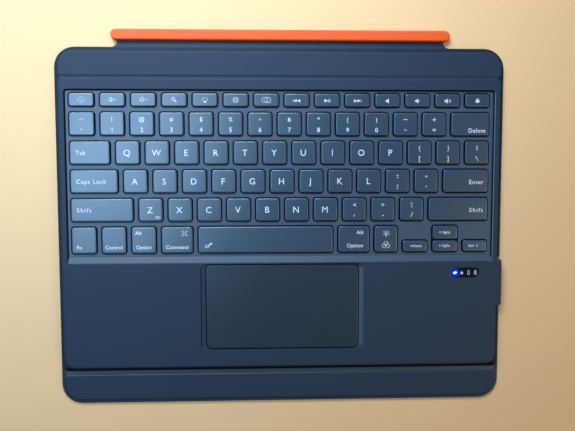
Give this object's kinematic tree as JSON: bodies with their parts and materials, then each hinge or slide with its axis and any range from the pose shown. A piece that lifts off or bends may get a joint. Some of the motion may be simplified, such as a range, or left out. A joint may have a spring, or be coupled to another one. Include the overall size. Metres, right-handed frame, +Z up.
{
  "type": "tablet keyboard folio",
  "caption": "Thin tablet keyboard folio with scissor keys, a clicking touchpad, a folding rear strip, a flexible flap with a magnetic docking rail, and a folding front flap.",
  "frame": {"origin": "on the table, below the middle of the open folio's outline", "axes": "+X to the user's right, +Y to the docking rail at the rear, +Z up"},
  "size_m": [0.288, 0.2412, 0.0062],
  "materials": {
    "skin": "matte",
    "shell_plastic": "matte",
    "web_plastic": "satin",
    "steel": "satin",
    "film": "satin",
    "clear_film": "gloss",
    "dome_rubber": "matte",
    "link_plastic": "satin",
    "touch_glass": "satin",
    "board": "satin",
    "switch_plastic": "satin",
    "cell_foil": "satin",
    "window_plastic": "gloss",
    "lamp_plastic": "gloss",
    "ribbon": "satin",
    "magnet": "satin",
    "rail_plastic": "matte",
    "keycap": "satin"
  },
  "bodies": {
    "deck": {"lower_skin": "skin", "upper_skin": "skin", "top_housing": "shell_plastic", "bottom_tray": "shell_plastic", "key_web": "web_plastic", "key_plate": "steel", "contact_membrane": "film", "light_guide": "clear_film", "dome_sheet": "dome_rubber", "scissor_links": "link_plastic", "touchpad_switch": "switch_plastic", "battery_cells": "cell_foil", "main_board": "board", "usb_socket": "steel", "port_bezel": "shell_plastic", "power_switch": "switch_plastic", "status_window": "window_plastic", "status_lamps": "lamp_plastic", "ribbon_cables": "ribbon", "housing_screws": "steel"},
    "touchpad": {"touchpad_plate": "touch_glass", "touchpad_board": "board"},
    "power_slide_button": {"power_slider": "switch_plastic"},
    "rear_strip": {"strip_skin": "skin", "strip_core": "shell_plastic", "strip_magnets": "magnet"},
    "flap": {"hinge_flap": "skin"},
    "docking_rail": {"rail_cover": "rail_plastic", "rail_base": "skin", "rail_magnets": "magnet"},
    "front_flap": {"closure_skin": "skin", "closure_core": "shell_plastic", "closure_magnets": "magnet"},
    "space_bar": {"space_key": "keycap"},
    "enter": {"enter_key": "keycap"},
    "delete": {"delete_key": "keycap"},
    "tab": {"tab_key": "keycap"},
    "caps_lock": {"caps_lock_key": "keycap"},
    "left_shift": {"left_shift_key": "keycap"},
    "right_shift": {"right_shift_key": "keycap"},
    "left_modifier": {"left_modifier_keys": "keycap"},
    "right_modifier": {"right_modifier_keys": "keycap"},
    "left_arrow": {"left_arrow_key": "keycap"},
    "right_arrow": {"right_arrow_key": "keycap"},
    "up_arrow": {"up_arrow_key": "keycap"},
    "down_arrow": {"down_arrow_key": "keycap"},
    "finger_column_1": {"key_column_1": "keycap"},
    "finger_column_2": {"key_column_2": "keycap"},
    "finger_column_3": {"key_column_3": "keycap"},
    "finger_column_4": {"key_column_4": "keycap"},
    "finger_column_5": {"key_column_5": "keycap"},
    "finger_column_6": {"key_column_6": "keycap"},
    "finger_column_7": {"key_column_7": "keycap"},
    "finger_column_8": {"key_column_8": "keycap"},
    "finger_column_9": {"key_column_9": "keycap"},
    "finger_column_10": {"key_column_10": "keycap"},
    "symbol_top_group": {"symbol_keys_top": "keycap"},
    "symbol_side_group": {"symbol_keys_side": "keycap"},
    "system": {"system_keys": "keycap"},
    "media": {"media_keys": "keycap"}
  },
  "joints": [
    {"name": "rear_strip_fold", "type": "hinge", "parent": "deck", "child": "rear_strip", "pos_m": [0, 0.0902, 0.005], "axis": [1, 0, 0], "range_deg": [0, 80]},
    {"name": "hinge_flap_fold", "type": "hinge", "parent": "rear_strip", "child": "flap", "pos_m": [0, 0.1098, 0.0007], "axis": [1, 0, 0], "range_deg": [-90, 75]},
    {"name": "docking_rail_fold", "type": "hinge", "parent": "flap", "child": "docking_rail", "pos_m": [0, 0.11305, 0.0007], "axis": [1, 0, 0], "range_deg": [-90, 30]},
    {"name": "front_flap_fold", "type": "hinge", "parent": "deck", "child": "front_flap", "pos_m": [0, -0.0993, 0.0007], "axis": [-1, 0, 0], "range_deg": [-90, 90]},
    {"name": "touchpad_click", "type": "hinge", "parent": "deck", "child": "touchpad", "pos_m": [0, -0.0324, 0.0035], "axis": [1, 0, 0], "range_deg": [0, 0.442], "stiffness_Nm_per_rad": 4},
    {"name": "power_slide", "type": "slide", "parent": "deck", "child": "power_slide_button", "axis": [0, -1, 0], "range_m": [0, 0.002]},
    {"name": "space_key_press", "type": "slide", "parent": "deck", "child": "space_bar", "axis": [0, 0, -1], "range_m": [0, 0.0012], "stiffness_N_per_m": 500, "deforming": ["dome_sheet", "scissor_links"]},
    {"name": "enter_key_press", "type": "slide", "parent": "deck", "child": "enter", "axis": [0, 0, -1], "range_m": [0, 0.0012], "stiffness_N_per_m": 500, "deforming": ["dome_sheet", "scissor_links"]},
    {"name": "delete_key_press", "type": "slide", "parent": "deck", "child": "delete", "axis": [0, 0, -1], "range_m": [0, 0.0012], "stiffness_N_per_m": 500, "deforming": ["dome_sheet", "scissor_links"]},
    {"name": "tab_key_press", "type": "slide", "parent": "deck", "child": "tab", "axis": [0, 0, -1], "range_m": [0, 0.0012], "stiffness_N_per_m": 500, "deforming": ["dome_sheet", "scissor_links"]},
    {"name": "caps_lock_key_press", "type": "slide", "parent": "deck", "child": "caps_lock", "axis": [0, 0, -1], "range_m": [0, 0.0012], "stiffness_N_per_m": 500, "deforming": ["dome_sheet", "scissor_links"]},
    {"name": "left_shift_key_press", "type": "slide", "parent": "deck", "child": "left_shift", "axis": [0, 0, -1], "range_m": [0, 0.0012], "stiffness_N_per_m": 500, "deforming": ["dome_sheet", "scissor_links"]},
    {"name": "right_shift_key_press", "type": "slide", "parent": "deck", "child": "right_shift", "axis": [0, 0, -1], "range_m": [0, 0.0012], "stiffness_N_per_m": 500, "deforming": ["dome_sheet", "scissor_links"]},
    {"name": "left_modifier_keys_press", "type": "slide", "parent": "deck", "child": "left_modifier", "axis": [0, 0, -1], "range_m": [0, 0.0012], "stiffness_N_per_m": 2000, "deforming": ["dome_sheet", "scissor_links"]},
    {"name": "right_modifier_keys_press", "type": "slide", "parent": "deck", "child": "right_modifier", "axis": [0, 0, -1], "range_m": [0, 0.0012], "stiffness_N_per_m": 1000, "deforming": ["dome_sheet", "scissor_links"]},
    {"name": "left_arrow_key_press", "type": "slide", "parent": "deck", "child": "left_arrow", "axis": [0, 0, -1], "range_m": [0, 0.0012], "stiffness_N_per_m": 500, "deforming": ["dome_sheet", "scissor_links"]},
    {"name": "right_arrow_key_press", "type": "slide", "parent": "deck", "child": "right_arrow", "axis": [0, 0, -1], "range_m": [0, 0.0012], "stiffness_N_per_m": 500, "deforming": ["dome_sheet", "scissor_links"]},
    {"name": "up_arrow_key_press", "type": "slide", "parent": "deck", "child": "up_arrow", "axis": [0, 0, -1], "range_m": [0, 0.0012], "stiffness_N_per_m": 500, "deforming": ["dome_sheet", "scissor_links"]},
    {"name": "down_arrow_key_press", "type": "slide", "parent": "deck", "child": "down_arrow", "axis": [0, 0, -1], "range_m": [0, 0.0012], "stiffness_N_per_m": 500, "deforming": ["dome_sheet", "scissor_links"]},
    {"name": "column_1_press", "type": "slide", "parent": "deck", "child": "finger_column_1", "axis": [0, 0, -1], "range_m": [0, 0.0012], "stiffness_N_per_m": 2000, "deforming": ["dome_sheet", "scissor_links"]},
    {"name": "column_2_press", "type": "slide", "parent": "deck", "child": "finger_column_2", "axis": [0, 0, -1], "range_m": [0, 0.0012], "stiffness_N_per_m": 2000, "deforming": ["dome_sheet", "scissor_links"]},
    {"name": "column_3_press", "type": "slide", "parent": "deck", "child": "finger_column_3", "axis": [0, 0, -1], "range_m": [0, 0.0012], "stiffness_N_per_m": 2000, "deforming": ["dome_sheet", "scissor_links"]},
    {"name": "column_4_press", "type": "slide", "parent": "deck", "child": "finger_column_4", "axis": [0, 0, -1], "range_m": [0, 0.0012], "stiffness_N_per_m": 2000, "deforming": ["dome_sheet", "scissor_links"]},
    {"name": "column_5_press", "type": "slide", "parent": "deck", "child": "finger_column_5", "axis": [0, 0, -1], "range_m": [0, 0.0012], "stiffness_N_per_m": 2000, "deforming": ["dome_sheet", "scissor_links"]},
    {"name": "column_6_press", "type": "slide", "parent": "deck", "child": "finger_column_6", "axis": [0, 0, -1], "range_m": [0, 0.0012], "stiffness_N_per_m": 2000, "deforming": ["dome_sheet", "scissor_links"]},
    {"name": "column_7_press", "type": "slide", "parent": "deck", "child": "finger_column_7", "axis": [0, 0, -1], "range_m": [0, 0.0012], "stiffness_N_per_m": 2000, "deforming": ["dome_sheet", "scissor_links"]},
    {"name": "column_8_press", "type": "slide", "parent": "deck", "child": "finger_column_8", "axis": [0, 0, -1], "range_m": [0, 0.0012], "stiffness_N_per_m": 2000, "deforming": ["dome_sheet", "scissor_links"]},
    {"name": "column_9_press", "type": "slide", "parent": "deck", "child": "finger_column_9", "axis": [0, 0, -1], "range_m": [0, 0.0012], "stiffness_N_per_m": 2000, "deforming": ["dome_sheet", "scissor_links"]},
    {"name": "column_10_press", "type": "slide", "parent": "deck", "child": "finger_column_10", "axis": [0, 0, -1], "range_m": [0, 0.0012], "stiffness_N_per_m": 2000, "deforming": ["dome_sheet", "scissor_links"]},
    {"name": "symbol_keys_top_press", "type": "slide", "parent": "deck", "child": "symbol_top_group", "axis": [0, 0, -1], "range_m": [0, 0.0012], "stiffness_N_per_m": 1500, "deforming": ["dome_sheet", "scissor_links"]},
    {"name": "symbol_keys_side_press", "type": "slide", "parent": "deck", "child": "symbol_side_group", "axis": [0, 0, -1], "range_m": [0, 0.0012], "stiffness_N_per_m": 2000, "deforming": ["dome_sheet", "scissor_links"]},
    {"name": "system_keys_press", "type": "slide", "parent": "deck", "child": "system", "axis": [0, 0, -1], "range_m": [0, 0.0012], "stiffness_N_per_m": 3500, "deforming": ["dome_sheet", "scissor_links"]},
    {"name": "media_keys_press", "type": "slide", "parent": "deck", "child": "media", "axis": [0, 0, -1], "range_m": [0, 0.0012], "stiffness_N_per_m": 3500, "deforming": ["dome_sheet", "scissor_links"]}
  ]
}
